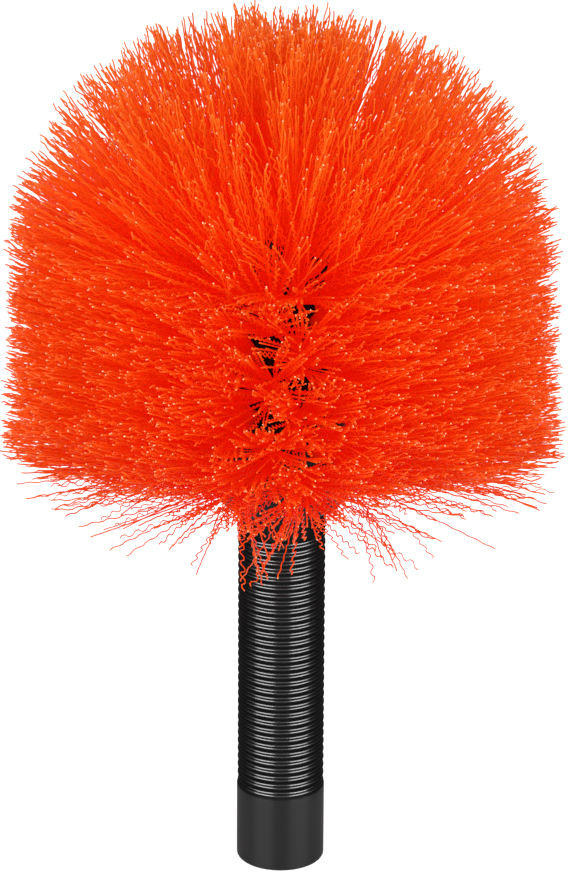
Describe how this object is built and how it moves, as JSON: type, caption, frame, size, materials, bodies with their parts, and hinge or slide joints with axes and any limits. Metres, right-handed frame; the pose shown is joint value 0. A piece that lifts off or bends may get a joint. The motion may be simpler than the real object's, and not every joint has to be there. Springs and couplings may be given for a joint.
{
  "type": "cobweb brush",
  "caption": "Domed cobweb brush head: crimped bristle tufts anchored in a round drilled block whose spigot sits in a ribbed tubular socket for a pole.",
  "frame": {"origin": "centre of the socket's open mouth, on the plane of its rim", "axes": "+Z along the brush, from the mouth up to the crown of the bristles; -Y is the side that faces the camera"},
  "size_m": [0.1708, 0.1708, 0.2808],
  "materials": {
    "socket_plastic": "black moulded plastic, satin on the ribs and matte on the cuff",
    "block_plastic": "black moulded plastic",
    "bristle": "translucent orange-red crimped filament",
    "anchor_wire": "flat drawn wire"
  },
  "bodies": {
    "root": {"pole_socket": "socket_plastic", "bristle_block": "block_plastic", "tuft_row_01": "bristle", "tuft_row_02": "bristle", "tuft_row_03": "bristle", "tuft_row_04": "bristle", "tuft_row_05": "bristle", "tuft_row_06": "bristle", "tuft_row_07": "bristle", "tuft_row_08": "bristle", "tuft_row_09": "bristle", "anchor_row_01": "anchor_wire", "anchor_row_02": "anchor_wire", "anchor_row_03": "anchor_wire", "anchor_row_04": "anchor_wire", "anchor_row_05": "anchor_wire", "anchor_row_06": "anchor_wire", "anchor_row_07": "anchor_wire", "anchor_row_08": "anchor_wire", "anchor_row_09": "anchor_wire"}
  },
  "joints": []
}
